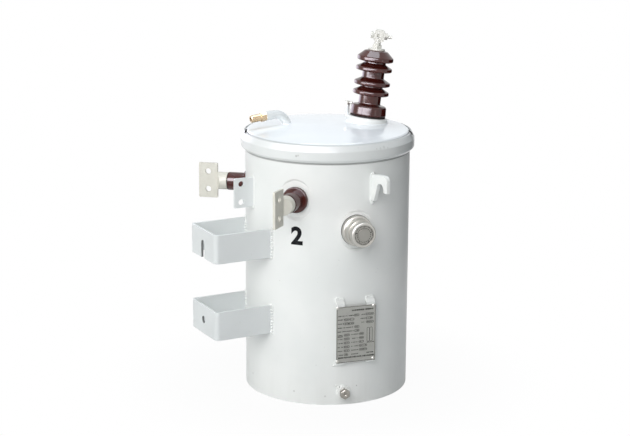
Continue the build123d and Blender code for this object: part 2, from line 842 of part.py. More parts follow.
with BuildPart() as tap_flange:
    with BuildSketch(outward(tap_azimuth, tap_level).offset(tap_flange_start)):
        Circle(tap_flange_radius)
    extrude(amount=tap_flange_height)
    fillet(faces().sort_by(tap_ray)[-1].edges(), radius=tap_flange_rounding)
    with BuildSketch(outward(tap_azimuth, tap_level).offset(tap_barrel_start)):
        Circle(tap_barrel_radius)
    extrude(amount=tap_barrel_height)
save(tap_flange, "tap_flange")

with BuildPart() as tap_cap:
    with BuildSketch(outward(tap_azimuth, tap_level).offset(tap_cap_start)):
        Circle(tap_cap_radius)
    extrude(amount=tap_cap_height)
    fillet(faces().sort_by(tap_ray)[-1].edges(), radius=tap_cap_rounding)
    with BuildSketch(outward(tap_azimuth, tap_level).offset(tap_cap_start + tap_cap_height)):
        Circle(tap_face_radius)
        Circle(tap_dial_radius, mode=Mode.SUBTRACT)
    extrude(amount=-tap_face_depth, mode=Mode.SUBTRACT)
save(tap_cap, "tap_cap")

# ---------------------------------------------------------------- rating plate

plate_back = tank_radius + plate_standoff
half_plate = plate_height / 2

with BuildPart() as rating_plate:
    with BuildSketch(outward(plate_azimuth, plate_level).offset(plate_back)):
        Rectangle(plate_width, plate_height)
    extrude(amount=plate_thickness)
save(rating_plate, "rating_plate")

# Each strip stands off the tank: its top is cranked back to a tab and its foot turns straight in.
strip_offset = plate_width / 2 - strip_inset - strip_width / 2
tab_face = tank_seat(strip_offset - strip_width / 2) + strip_thickness
tab_back = tank_seat(strip_offset + strip_width / 2) - seat_gap
strip_top = half_plate + strip_overhang
strip_bottom = -half_plate - strip_foot_drop
step_end = strip_top + strip_step

for name, side in (("left", -1), ("right", 1)):
    with BuildPart() as strip:
        with BuildSketch(fin(plate_azimuth, plate_level).offset(-side * strip_offset)):
            with BuildLine():
                Polyline(
                    (tab_back, step_end + strip_tab),
                    (tab_face, step_end + strip_tab),
                    (tab_face, step_end),
                    (plate_back, strip_top),
                    (plate_back, strip_bottom),
                    (tab_back, strip_bottom),
                    (tab_back, strip_bottom + strip_thickness),
                    (plate_back - strip_thickness, strip_bottom + strip_thickness),
                    (plate_back - strip_thickness, strip_top - strip_thickness),
                    (tab_back, step_end - strip_thickness),
                    close=True,
                )
            make_face()
        extrude(amount=strip_width / 2, both=True)
        with BuildSketch(Plane.XY):
            Circle(tank_radius + seat_gap)
        extrude(amount=shell_height, mode=Mode.SUBTRACT)
    save(strip, f"plate_strip_{name}")

# ---------------------------------------------------------------- drain

drain_face = tank_radius + drain_coupling_reach

with BuildPart() as drain_coupling:
    with BuildSketch(outward(drain_azimuth, drain_level).offset(tank_seat(drain_coupling_radius) - tank_wall)):
        Circle(drain_coupling_radius)
    extrude(amount=drain_face - tank_seat(drain_coupling_radius) + tank_wall)
    with BuildSketch(Plane.XY):
        Circle(tank_radius + seat_gap)
    extrude(amount=shell_height, mode=Mode.SUBTRACT)
save(drain_coupling, "drain_coupling")

with BuildPart() as drain_plug:
    with BuildSketch(outward(drain_azimuth, drain_level).offset(drain_face)):
        RegularPolygon(drain_hex_across_flats / 2, 6, major_radius=False)
    extrude(amount=drain_hex_length)
    chamfer(faces().sort_by(ray(drain_azimuth, drain_level))[-1].edges(), length=drain_chamfer)
    with BuildSketch(outward(drain_azimuth, drain_level).offset(drain_face + drain_hex_length)):
        Circle(drain_dimple_radius)
    extrude(amount=-drain_dimple_depth, mode=Mode.SUBTRACT)
save(drain_plug, "drain_plug")
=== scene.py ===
from math import cos, pi, radians, sin, sqrt, tan

import bmesh
import bpy
from mathutils import Matrix, Vector


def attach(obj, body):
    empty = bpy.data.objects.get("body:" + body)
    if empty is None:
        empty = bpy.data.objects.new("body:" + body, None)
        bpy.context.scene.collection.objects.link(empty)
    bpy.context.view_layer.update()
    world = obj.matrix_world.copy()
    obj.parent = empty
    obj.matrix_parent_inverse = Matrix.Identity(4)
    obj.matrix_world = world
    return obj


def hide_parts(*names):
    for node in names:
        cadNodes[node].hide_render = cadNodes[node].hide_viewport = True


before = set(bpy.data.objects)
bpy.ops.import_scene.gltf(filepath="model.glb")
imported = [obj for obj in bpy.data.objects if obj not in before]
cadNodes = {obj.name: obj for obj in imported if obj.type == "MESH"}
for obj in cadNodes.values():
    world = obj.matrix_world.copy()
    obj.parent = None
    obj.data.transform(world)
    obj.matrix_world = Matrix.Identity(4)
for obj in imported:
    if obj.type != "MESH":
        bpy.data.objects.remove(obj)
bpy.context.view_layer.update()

print("frame loaded with", len(cadNodes), "nodes")


def polar(reach, turn, level):
    # a point so far from the Z axis
    return Vector((reach * cos(turn), reach * sin(turn), level))


class Wire:
    # wraps one output socket: arithmetic on it adds Math nodes, and node() adds any other
    def __init__(self, tree, socket=None):
        self.tree = tree
        self.socket = socket

    def node(self, kind, settings=None, inputs=None, output=0):
        made = self.tree.nodes.new(kind)
        for name, value in (settings or {}).items():
            setattr(made, name, value)
        for key, value in (inputs or {}).items():
            if isinstance(value, Wire):
                self.tree.links.new(value.socket, made.inputs[key])
            else:
                made.inputs[key].default_value = value
        return Wire(self.tree, made.outputs[output] if made.outputs else None)

    def other(self, output):
        return Wire(self.tree, self.socket.node.outputs[output])

    def math(self, operation, *values):
        return self.node("ShaderNodeMath", {"operation": operation}, dict(enumerate(values)))

    def vector(self, operation, *values, output=0):
        inputs = dict(enumerate(values))
        return self.node("ShaderNodeVectorMath", {"operation": operation}, inputs, output)

    def scaled(self, factor):
        return self.node("ShaderNodeVectorMath", {"operation": "SCALE"}, {0: self, 3: factor})

    def axis(self, index):
        return self.node("ShaderNodeSeparateXYZ", {}, {0: self}, index)

    def __add__(self, value):
        return self.math("ADD", self, value)

    def __sub__(self, value):
        return self.math("SUBTRACT", self, value)

    def __rsub__(self, value):
        return self.math("SUBTRACT", value, self)

    def __mul__(self, value):
        return self.math("MULTIPLY", self, value)

    def __truediv__(self, value):
        return self.math("DIVIDE", self, value)

    def __abs__(self):
        return self.math("ABSOLUTE", self)

    def __gt__(self, value):
        return self.math("GREATER_THAN", self, value)

    __radd__ = __add__
    __rmul__ = __mul__


def tone(red, green, blue):
    # a colour as it is read off a screen, turned to the linear values that shaders use
    shares = (red / 255, green / 255, blue / 255)
    linear = [v / 12.92 if v <= 0.04045 else ((v + 0.055) / 1.055) ** 2.4 for v in shares]
    return (*linear, 1.0)


def mixTone(tree, share, first, second):
    return tree.node("ShaderNodeMix", {"data_type": "RGBA"}, {0: share, 6: first, 7: second}, 2)


def noise(tree, place, scale, detail=2.0, roughness=0.5):
    inputs = {"Vector": place, "Scale": scale, "Detail": detail, "Roughness": roughness}
    return tree.node("ShaderNodeTexNoise", {}, inputs)


def ease(value, low, high):
    # 0 below low, 1 above high and smooth between them
    smooth = {"interpolation_type": "SMOOTHSTEP"}
    return value.node("ShaderNodeMapRange", smooth, {0: value, 1: low, 2: high})


def between(value, low, high, soft):
    return ease(value, low - soft, low) * (1 - ease(value, high, high + soft))


def spot(place, centre, size):
    # a mask that is 1 inside a small round place and fades out at its edge
    gap = place.vector("DISTANCE", place, centre, output=1)
    return 1 - ease(gap, size * 0.6, size * 1.4)


def startMaterial(name):
    material = bpy.data.materials.new(name)
    material.use_nodes = True
    material.node_tree.nodes.clear()
    return material, Wire(material.node_tree)


def finishMaterial(material, tree, sockets):
    surface = tree.node("ShaderNodeBsdfPrincipled", {}, sockets)
    tree.node("ShaderNodeOutputMaterial", {}, {"Surface": surface})
    return material


def relief(tree, height):
    return tree.node("ShaderNodeBump", {}, {"Strength": 1.0, "Distance": 1.0, "Height": height})


def objectPlace(tree):
    return tree.node("ShaderNodeTexCoord", output="Object")


# enamel on the tank, cover, band and brackets; the brackets' copy is darker than the tank's as painted
# shade
# marks are azimuth, level, radius from the axis, size and darkness
# the lines of painted shade in the grooves round the cover and under the band are strength, then the
# ranges of radius from the axis and of height in which each lies
enamelLook = {
    "tank": {
        "colour": (239, 241, 239), "shade": (233, 236, 234),
        "dust": 0.06, "rough": 0.36, "specular": 0.07,
        "marks": (
            (178.0, 0.040, 0.2, 0.0026, 0.3), (-140.7, 0.029, 0.2, 0.0022, 0.35),
            (-118.7, 0.022, 0.2, 0.002, 0.4), (-96.6, 0.045, 0.2, 0.0016, 0.5),
            (-152.0, 0.3, 0.2, 0.0011, 0.35), (-110.0, 0.36, 0.2, 0.001, 0.3),
            (-125.0, 0.1, 0.2, 0.0012, 0.3), (20.0, 0.22, 0.2, 0.002, 0.35),
        ),
        # painted shadow on the wall just under the band
        "grime": ((0.6, 0.19, 0.21, 0.5885, 0.6),),
    },
    "cover": {
        # the cover's blue tint is a painted reflection of bluish light from above
        "colour": (242, 247, 249), "shade": (239, 244, 247),
        "dust": 0.0, "rough": 0.1, "specular": 0.45,
        # painted shade in the groove between the cover's edge and the band
        "grime": ((0.2, 0.1945, 0.2015, 0.6, 0.7), (0.4, 0.1975, 0.2015, 0.6, 0.7)),
    },
    "band": {
        "colour": (228, 231, 230), "shade": (222, 226, 225),
        "dust": 0.0, "rough": 0.24, "specular": 0.35,
        "marks": (
            (-138.3, 0.609, 0.2105, 0.0026, 0.5), (-137.0, 0.6105, 0.2105, 0.002, 0.4),
            (-82.0, 0.622, 0.2085, 0.003, 0.2), (-79.0, 0.6235, 0.2075, 0.0038, 0.22),
            (-85.0, 0.6225, 0.2085, 0.0018, 0.25), (-76.0, 0.621, 0.209, 0.0022, 0.2),
            (-65.6, 0.597, 0.2095, 0.0018, 0.8), (-98.0, 0.628, 0.205, 0.0012, 0.35),
        ),
        # painted shade at the band's inner lip and along its lower edge
        "grime": ((0.3, 0.19, 0.2026, 0.62, 0.7), (0.6, 0.19, 0.22, 0.58, 0.5925)),
    },
    # the tank's enamel made darker for the brackets and the vent pipe: painted shade
    "shadedBracket": {
        "colour": (225, 229, 229), "shade": (219, 223, 223),
        "dust": 0.03, "rough": 0.36, "specular": 0.07,
        # the walls of the hangers' hole and slot get painted shade within these heights
        "cuts": ((0.187, 0.211), (0.34, 0.395)),      # ranges of height of the hangers' hole and slot
    },
    "stain": (150, 146, 134),
    "mark": (86, 80, 74),
    # colour of the painted shade in the grooves and under the band
    "paintedShadeColour": (112, 113, 112),
    "paintedShadeEdge": 0.0015,      # how softly a line of painted shade ends
    "dustHeight": 0.16,
    "peelScale": 420.0,
    "peelDepth": 0.000012,
    "waveScale": 11.0,
    "waveDepth": 0.0006,
    "cutShadeColour": (82, 83, 82),      # painted shade on the walls of the slot and the hole
    "cutDepth": (0.3282, 0.3336),   # from the tank's axis
    "cutHalfWidth": 0.0093,
    "cutShadeStrength": 0.8,
}


def enamelMaterial(name, kind):
    look = enamelLook[kind]
    stain = tone(*enamelLook["stain"])
    material, tree = startMaterial(name)
    place = objectPlace(tree)
    height = place.axis(2)
    cloud = noise(tree, place, 6.0, 3.0)      # broad uneven patches
    upright = tree.node("ShaderNodeMapping", {}, {0: place, 3: (34, 34, 2.2)})
    streaks = noise(tree, upright, 1.0, 4.0, 0.6)
    colour = mixTone(tree, ease(cloud, 0.35, 0.7), tone(*look["colour"]), tone(*look["shade"]))
    dusty = 1 - ease(height, 0.0, enamelLook["dustHeight"])      # runs of dust near the ground
    colour = mixTone(tree, dusty * ease(streaks, 0.42, 0.72) * look["dust"], colour, stain)
    grit = ease(noise(tree, place, 260.0, 2.0), 0.72, 0.8)      # fine specks
    colour = mixTone(tree, grit * 0.25, colour, stain)
    for azimuth, level, radius, size, dark in look.get("marks", ()):
        centre = polar(radius, radians(azimuth), level)
        uneven = noise(tree, place, 900.0, 1.0) * 0.6 + 0.4
        there = spot(place, centre, size) * uneven * dark
        colour = mixTone(tree, there, colour, tone(*enamelLook["mark"]))
    # painted shade in the grooves round the cover and under the band
    soft = enamelLook["paintedShadeEdge"]
    flat = place.vector("MULTIPLY", place, (1, 1, 0))
    radius = flat.vector("LENGTH", flat, output=1)
    for dark, inner, outer, low, high in look.get("grime", ()):
        line = between(radius, inner, outer, soft) * between(height, low, high, soft) * dark
        colour = mixTone(tree, line, colour, tone(*enamelLook["paintedShadeColour"]))
    # painted shade on the walls of the hangers' hole and slot
    half = enamelLook["cutHalfWidth"]
    for low, high in look.get("cuts", ()):
        inside = between(0 - place.axis(0), *enamelLook["cutDepth"], 0.0003)
        inside = inside * between(place.axis(1), -half, half, 0.0003)
        inside = inside * between(height, low, high, 0.001)
        colour = mixTone(tree, inside * enamelLook["cutShadeStrength"], colour, tone(*enamelLook["cutShadeColour"]))
    peel = noise(tree, place, enamelLook["peelScale"], 1.0) * enamelLook["peelDepth"]
    wave = noise(tree, place, enamelLook["waveScale"], 1.0) * enamelLook["waveDepth"]
    sockets = {
        "Base Color": colour,
        "Roughness": look["rough"] + cloud * 0.05 + grit * 0.2,
        "Specular IOR Level": look["specular"],
        "Normal": relief(tree, peel + wave),
    }
    return finishMaterial(material, tree, sockets)


# brown glaze of the bushings
glazeLook = {
    "colour": (66, 22, 17),
    "thin": (88, 36, 27),      # where the glaze is thinner
    "rough": 0.09,
    "specular": 0.55,
    "waveDepth": 0.0004,
}


def glazeMaterial(name):
    material, tree = startMaterial(name)
    place = objectPlace(tree)
    cloud = noise(tree, place, 30.0, 3.0)
    thin = ease(cloud, 0.4, 0.75) * 0.5
    colour = mixTone(tree, thin, tone(*glazeLook["colour"]), tone(*glazeLook["thin"]))
    sockets = {
        "Base Color": colour,
        "Roughness": glazeLook["rough"] + cloud * 0.06,
        "Specular IOR Level": glazeLook["specular"],
        "Normal": relief(tree, noise(tree, place, 45.0, 1.0) * glazeLook["waveDepth"]),
    }
    return finishMaterial(material, tree, sockets)


# the tap changer's dial: dashes and dots are count, radius of their ring, length and width
dialLook = {
    "azimuth": -98.0,
    "level": 0.430,
    "face": 0.2485,       # of the sunk face, from the tank's axis
    "radius": 0.0243,
    # colour of the sunk face: a painted reflection of a darker surrounding
    "dull": (146, 145, 139),
    "dashes": (13, 0.0216, 0.0011, 0.0080),
    "dots": (22, 0.0168, 0.0014, 0.0021),
    "numbers": "12345",
    "numberSize": 0.0040,
    "numberRing": 0.0192,
    "boldness": 0.0002,
    "rise": 0.0006,       # thickness of the numbers
    "out": 0.0002,        # of their middle, from the face
}


def dialFaceShadeMask(tree, place):
    # 1 on the sunk face of the cap, which gets a darker colour as a painted reflection of a darker
    # surrounding
    turn = radians(dialLook["azimuth"])
    gap = tree.vector("SUBTRACT", place, polar(dialLook["face"], turn, dialLook["level"]))
    depth = gap.vector("DOT_PRODUCT", gap, polar(1, turn, 0), output=1)
    reach = gap.vector("LENGTH", gap, output=1)
    return (depth > -0.001) * (1 - ease(reach, dialLook["radius"] - 0.0004, dialLook["radius"]))


# bare metals: colour, tarnish, metallic, roughness, specular, shares of wear and of pits,
# depth of the grain
metalLook = {
    "tinnedCasting": ((207, 206, 196), (186, 183, 170), 0.06, 0.55, 0.12, 0.22, 0.05, 0.000012),
    "paleCasting": ((222, 222, 215), (206, 205, 197), 0.04, 0.5, 0.12, 0.22, 0.05, 0.000004),
    "zincSteel": ((196, 196, 190), (146, 143, 134), 0.7, 0.36, 0.5, 0.4, 0.15, 0.00005),
    "valveBrass": ((202, 180, 148), (148, 118, 84), 0.85, 0.26, 0.5, 0.4, 0.15, 0.00005),
    "tapCasting": ((184, 183, 177), (150, 148, 141), 0.8, 0.3, 0.5, 0.4, 0.15, 0.000015),
    "plateMetal": ((156, 157, 151), (142, 143, 137), 0.35, 0.5, 0.5, 0.4, 0.15, 0.00005),
    "plugBronze": ((146, 143, 136), (102, 94, 82), 0.8, 0.34, 0.5, 0.4, 0.15, 0.00005),
}


def metalMaterial(name):
    bright, dull, metallic, rough, specular, wear, pitting, grain = metalLook[name]
    material, tree = startMaterial(name)
    place = objectPlace(tree)
    worn = ease(noise(tree, place, 75.0, 5.0, 0.65), 0.4, 0.75)
    pits = ease(noise(tree, place, 520.0, 2.0), 0.66, 0.78)
    colour = mixTone(tree, worn * wear, tone(*bright), tone(*dull))
    colour = mixTone(tree, pits * pitting, colour, tone(*dull))
    # the tap's sunk face is painted darker, as a painted reflection
    if name == "tapCasting":
        colour = mixTone(tree, dialFaceShadeMask(tree, place), colour, tone(*dialLook["dull"]))
    sockets = {
        "Base Color": colour,
        "Metallic": metallic * (1 - worn * 0.2),
        "Specular IOR Level": specular,
        "Roughness": rough + worn * 0.1,
        "Normal": relief(tree, noise(tree, place, 300.0, 3.0) * grain),
    }
    return finishMaterial(material, tree, sockets)


rubberLook = {
    "colour": (40, 37, 36),
    "worn": (58, 54, 52),      # in chalky places
    "rough": 0.6,
    "specular": 0.08,
    "grain": 0.00003,
}


def rubberMaterial(name):
    material, tree = startMaterial(name)
    place = objectPlace(tree)
    cloud = noise(tree, place, 90.0, 3.0)
    sockets = {
        "Base Color": mixTone(tree, cloud, tone(*rubberLook["colour"]), tone(*rubberLook["worn"])),
        "Roughness": rubberLook["rough"] + cloud * 0.2,
        "Specular IOR Level": rubberLook["specular"],
        "Normal": relief(tree, noise(tree, place, 700.0) * rubberLook["grain"]),
    }
    return finishMaterial(material, tree, sockets)


inkLook = {
    "plateInk": (50, 50, 48),
    "dialInk": (44, 42, 40),
    "markPaint": (26, 27, 29),
    "fade": 26,       # how much lighter the worn places are
    "rough": 0.45,
    "specular": 0.03,
}


def inkMaterial(name):
    material, tree = startMaterial(name)
    worn = noise(tree, objectPlace(tree), 180.0, 3.0)
    lighter = [c + inkLook["fade"] for c in inkLook[name]]
    sockets = {
        "Base Color": mixTone(tree, ease(worn, 0.5, 0.75), tone(*inkLook[name]), tone(*lighter)),
        "Roughness": inkLook["rough"] + worn * 0.15,
        "Specular IOR Level": inkLook["specular"],
    }
    return finishMaterial(material, tree, sockets)


finishes = {
    "tank_paint": enamelMaterial("tankEnamel", "tank"),
    "cover_paint": enamelMaterial("coverEnamel", "cover"),
    "shadedBracket": enamelMaterial("shadedBracketEnamel", "shadedBracket"),
    "band": enamelMaterial("bandEnamel", "band"),
    "gasket_rubber": rubberMaterial("gasketRubber"),
    "brown_porcelain": glazeMaterial("brownGlaze"),
    "tinned_bronze": metalMaterial("tinnedCasting"),
    "paleCasting": metalMaterial("paleCasting"),
    "zinc_steel": metalMaterial("zincSteel"),
    "valve_brass": metalMaterial("valveBrass"),
    "tap_metal": metalMaterial("tapCasting"),
    "plate_metal": metalMaterial("plateMetal"),
    "plug_bronze": metalMaterial("plugBronze"),
    "plateInk": inkMaterial("plateInk"),
    "dialInk": inkMaterial("dialInk"),
    "markPaint": inkMaterial("markPaint"),
}
# nodes whose finish isn't their slot's own
painted = {
    "cover_band": "band",
    "hv_post": "tank_paint",
    "hv_boss": "tank_paint",
    # the vent pipe and the brackets take the darker copy of the enamel, which paints in shade
    "vent_elbow": "shadedBracket",
    "vent_coupling": "shadedBracket",
    "hv_eye": "paleCasting",
    "hv_terminal_cap": "paleCasting",
    "hv_stud_nut": "paleCasting",
    "hv_clamp_bolt": "paleCasting",
    "hanger_upper": "shadedBracket",
    "hanger_lower": "shadedBracket",
    "ground_pad": "shadedBracket",
}
slotNames = {name: node.material_slots[0].material.name.split(".")[0] for name, node in cadNodes.items()}
for name, node in cadNodes.items():
    for slot in node.material_slots:
        slot.material = finishes[painted.get(name, slotNames[name])]
print("materials made:", len(finishes))


tankRadius = 0.2
domeCentre = Vector((0, 0, -1.0592))      # the cover is the top of a large ball
domeRadius = 1.7074
mergeGap = 0.000002       # points closer than this are one
drainSpot = {"azimuth": -106.0, "level": 0.032}
plateSpot = {"azimuth": -98.4, "level": 0.1785, "face": 0.2095}      # face is from the tank's axis


def wallSpot(azimuth, side, level, out=0.0):
    # a point on the tank's wall, so far to the right of the line at one azimuth, seen from outside
    turn = radians(azimuth)
    reach = sqrt(tankRadius ** 2 - side ** 2) + out
    return Vector((reach * cos(turn) - side * sin(turn), reach * sin(turn) + side * cos(turn), level))


def roundedLoop(halfWidth, halfHeight, corner, steps=6):
    # pairs round a rectangle with rounded corners; a circle where all three are the same
    pairs = []
    for quarter in range(4):
        middleX = (halfWidth - corner) * (1 if quarter in (0, 3) else -1)
        middleY = (halfHeight - corner) * (1 if quarter in (0, 1) else -1)
        for step in range(steps + 1):
            turn = pi / 2 * (quarter + step / steps)
            pairs.append((middleX + corner * cos(turn), middleY + corner * sin(turn)))
    return pairs


def wallLoop(azimuth, side, level, outline):
    out = weldLook["out"]
    return [wallSpot(azimuth, side + x, level + y, out) for x, y in roundedLoop(*outline)]


def domeLoop(foot, axis, radius, steps=64):
    # where a round foot with that axis meets the cover
    side = axis.orthogonal().normalized()
    loop = []
    for step in range(steps):
        start = foot + radius * (Matrix.Rotation(2 * pi * step / steps, 3, axis) @ side)
        gap = start - domeCentre
        half = gap.dot(axis)
        loop.append(start + axis * (sqrt(half ** 2 - gap.length_squared + domeRadius ** 2) - half))
    return loop


def guideMesh(name, loops, lines=()):
    # closed loops and open lines as loose edges, for a tree to follow
    points, edges = [], []
    for path, closed in [(loop, True) for loop in loops] + [(line, False) for line in lines]:
        first = len(points)
        points += [tuple(p) for p in path]
        edges += [(first + i, first + i + 1) for i in range(len(path) - 1)]
        if closed:
            edges.append((len(points) - 1, first))
    mesh = bpy.data.meshes.new(name)
    mesh.from_pydata(points, edges, [])
    return mesh


def pointMesh(name, points, sizes):
    mesh = bpy.data.meshes.new(name)
    mesh.from_pydata([tuple(p) for p in points], [], [])
    mesh.attributes.new("size", "FLOAT", "POINT").data.foreach_set("value", list(sizes))
    return mesh


def startTree(name, inputs):
    # a Geometry Nodes tree with named inputs; their values come with the modifier
    tree = bpy.data.node_groups.new(name, "GeometryNodeTree")
    tree.interface.new_socket("Geometry", in_out="OUTPUT", socket_type="NodeSocketGeometry")
    for label, kind in {"Geometry": "Geometry", **inputs, "Material": "Material"}.items():
        tree.interface.new_socket(label, in_out="INPUT", socket_type="NodeSocket" + kind)
    entry = tree.nodes.new("NodeGroupInput")
    return {label: Wire(tree, entry.outputs[label]) for label in ("Geometry", *inputs, "Material")}


def finishTree(given, shape, smooth=True):
    shaded = shape.node("GeometryNodeSetShadeSmooth", {}, {"Geometry": shape, "Shade Smooth": smooth})
    whole = shape.node("GeometryNodeRealizeInstances", {}, {"Geometry": shaded})
    coat = {"Geometry": whole, "Material": given["Material"]}
    shape.node("NodeGroupOutput", {}, {0: shape.node("GeometryNodeSetMaterial", {}, coat)})
    return shape.tree


def placed(name, data):
    made = bpy.data.objects.new(name, data)
    bpy.context.scene.collection.objects.link(made)
    return made


def evaluatedMesh(holder, name):
    # the finished mesh of an object, which is then removed
    mesh = bpy.data.meshes.new_from_object(holder.evaluated_get(bpy.context.evaluated_depsgraph_get()))
    holder.modifiers.clear()
    bpy.data.objects.remove(holder)
    mesh.name = name
    return mesh


def workMesh(*meshes):
    # a copy to edit, with its doubles merged
    work = bmesh.new()
    for mesh in meshes:
        work.from_mesh(mesh)
    bmesh.ops.remove_doubles(work, verts=work.verts, dist=mergeGap)
    return work


def finishedMesh(name, work, material):
    bmesh.ops.recalc_face_normals(work, faces=work.faces)
    mesh = bpy.data.meshes.new(name)
    work.to_mesh(mesh)
    work.free()
    mesh.materials.append(material)
    return mesh


def bridgeRings(work, rings):
    # faces between rings of as many points each; a ring may be one point over and over
    for lower, upper in zip(rings, rings[1:]):
        for i in range(len(lower)):
            j = (i + 1) % len(lower)
            work.faces.new(dict.fromkeys((lower[i], lower[j], upper[j], upper[i])).keys())


def addPiece(name, mesh, slot, *replaced):
    piece = placed(name, mesh)
    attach(piece, "root")
    if replaced:
        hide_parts(*replaced)
    return piece


def grown(name, tree, guide, values):
    # runs a tree over its guide and keeps the plain mesh that comes out
    holder = placed(name, guide)
    modifier = holder.modifiers.new(name, "NODES")
    modifier.node_group = tree
    for item in tree.interface.items_tree:
        if item.in_out == "INPUT" and item.name in values:
            modifier[item.identifier] = values[item.name]
    return evaluatedMesh(holder, name)


def curveOf(given):
    return given["Geometry"].node("GeometryNodeMeshToCurve", {}, {"Mesh": given["Geometry"]})


def resampled(path, length):
    return path.node("GeometryNodeResampleCurve", {"mode": "LENGTH"}, {"Curve": path, "Length": length})


def roundSection(path, steps, radius):
    return path.node("GeometryNodeCurvePrimitiveCircle", {}, {"Resolution": steps, "Radius": radius})


def swept(path, section, **inputs):
    inputs = {"Curve": path, "Profile Curve": section, "Fill Caps": True, **inputs}
    return path.node("GeometryNodeCurveToMesh", {}, inputs)


def spread(points, shape, **inputs):
    inputs = {"Points": points, "Instance": shape, **inputs}
    return points.node("GeometryNodeInstanceOnPoints", {}, inputs)


def jitter(shape, scale, amount, seed):
    # moves each point a little, the same way on every run
    place = shape.node("GeometryNodeInputPosition")
    lumps = {"Vector": place, "W": seed, "Scale": scale}
    lumps = shape.node("ShaderNodeTexNoise", {"noise_dimensions": "4D"}, lumps, 1)
    shift = lumps.vector("SUBTRACT", lumps, (0.5, 0.5, 0.5)).scaled(amount)
    return shape.node("GeometryNodeSetPosition", {}, {"Geometry": shape, "Offset": shift})


def beadTree():
    # a weld bead: rippled along its run, uneven, and thin at its ends where Taper is 1
    sizes = dict.fromkeys(("Radius", "Ripple", "Depth", "Uneven", "Taper"), "Float")
    given = startTree("weldBead", {**sizes, "Seed": "Int"})
    path = resampled(curveOf(given), given["Ripple"] / 5)      # five steps to a ripple
    along = path.node("GeometryNodeSplineParameter", output="Length")
    share = along.other("Factor")
    waves = abs(along.math("SINE", along / given["Ripple"] * pi))
    place = path.node("GeometryNodeInputPosition")
    swell = {"Vector": place, "W": given["Seed"], "Scale": 70.0, "Detail": 1.0}
    swell = path.node("ShaderNodeTexNoise", {"noise_dimensions": "4D"}, swell) - 0.5
    ends = share.math("MINIMUM", share.math("MINIMUM", share, 1 - share) * 10 + 0.25, 1.0)
    thick = waves * given["Depth"] + 1 - given["Depth"]
    thick = thick * (1 + swell * given["Uneven"] * 2) * (1 - given["Taper"] * (1 - ends))
    bead = swept(path, roundSection(path, 10, given["Radius"]), Scale=thick)
    bead = jitter(bead, 260.0, given["Radius"] * given["Uneven"] * 0.8, given["Seed"])
    return finishTree(given, bead)


def dropTree():
    # lumps of metal at the points of the guide, each as big as its "size"
    given = startTree("metalDrops", {"Uneven": "Float", "Seed": "Int"})
    points = given["Geometry"]
    ball = points.node("GeometryNodeMeshIcoSphere", {}, {"Radius": 1.0, "Subdivisions": 3})
    size = points.node("GeometryNodeInputNamedAttribute", {"data_type": "FLOAT"}, {"Name": "size"})
    drops = {"Geometry": spread(points, ball, Scale=size)}
    drops = points.node("GeometryNodeRealizeInstances", {}, drops)
    return finishTree(given, jitter(drops, 240.0, given["Uneven"], given["Seed"]))


def threadTree():
    # a ridge wound round the guide's lines
    given = startTree("screwThread", {"Radius": "Float", "Pitch": "Float", "Ridge": "Float"})
    path = resampled(curveOf(given), given["Pitch"] / 14)      # fourteen steps to a turn
    turn = path.node("GeometryNodeSplineParameter", output="Length") / given["Pitch"] * (2 * pi)
    side = path.node("GeometryNodeInputNormal")
    run = path.node("GeometryNodeInputTangent")
    across = side.vector("CROSS_PRODUCT", run, side)
    wound = side.scaled(turn.math("COSINE", turn))
    wound = side.vector("ADD", wound, across.scaled(turn.math("SINE", turn)))
    coil = {"Geometry": path, "Offset": wound.scaled(given["Radius"])}
    coil = path.node("GeometryNodeSetPosition", {}, coil)
    return finishTree(given, swept(coil, roundSection(path, 5, given["Ridge"])))


def outlineTree():
    # a thin flat strip along the guide's lines
    given = startTree("printedLine", {"Width": "Float", "Height": "Float"})
    path = curveOf(given)
    section = {"Width": given["Width"], "Height": given["Height"]}
    section = path.node("GeometryNodeCurvePrimitiveQuadrilateral", {}, section)
    return finishTree(given, swept(path, section), False)


def marksTree():
    # rows of small upright marks with gaps between them
    sizes = dict.fromkeys(("Pitch", "Height", "Gaps"), "Float")
    given = startTree("stampedMarks", {**sizes, "Seed": "Int"})
    row = resampled(curveOf(given), given["Pitch"])
    size = row.node("ShaderNodeCombineXYZ", {}, {0: given["Pitch"], 1: given["Height"], 2: 0.0002})
    block = row.node("GeometryNodeMeshCube", {}, {"Size": size})
    vary = {0: (0.5, 0.6, 1.0), 1: (0.9, 1.0, 1.0), 8: given["Seed"]}      # smallest and largest share
    vary = row.node("FunctionNodeRandomValue", {"data_type": "FLOAT_VECTOR"}, vary)
    keep = {2: 0.0, 3: 1.0, 8: given["Seed"] + 1}
    keep = row.node("FunctionNodeRandomValue", {"data_type": "FLOAT"}, keep, 1)
    return finishTree(given, spread(row, block, Selection=keep > given["Gaps"], Scale=vary), False)


def ringTree():
    # raised ticks round a dial, pointing at its middle
    sizes = dict.fromkeys(("Radius", "Length", "Width"), "Float")
    given = startTree("dialTicks", {"Count": "Int", **sizes})
    circle = {"Vertices": given["Count"], "Radius": given["Radius"]}
    ring = given["Count"].node("GeometryNodeMeshCircle", {}, circle)
    size = ring.node("ShaderNodeCombineXYZ", {}, {0: given["Length"], 1: given["Width"], 2: 0.0004})
    tick = ring.node("GeometryNodeMeshCube", {}, {"Size": size})
    place = ring.node("GeometryNodeInputPosition")
    facing = ring.node("FunctionNodeAlignRotationToVector", {"axis": "X"}, {"Vector": place})
    return finishTree(given, spread(ring, tick, Rotation=facing), False)


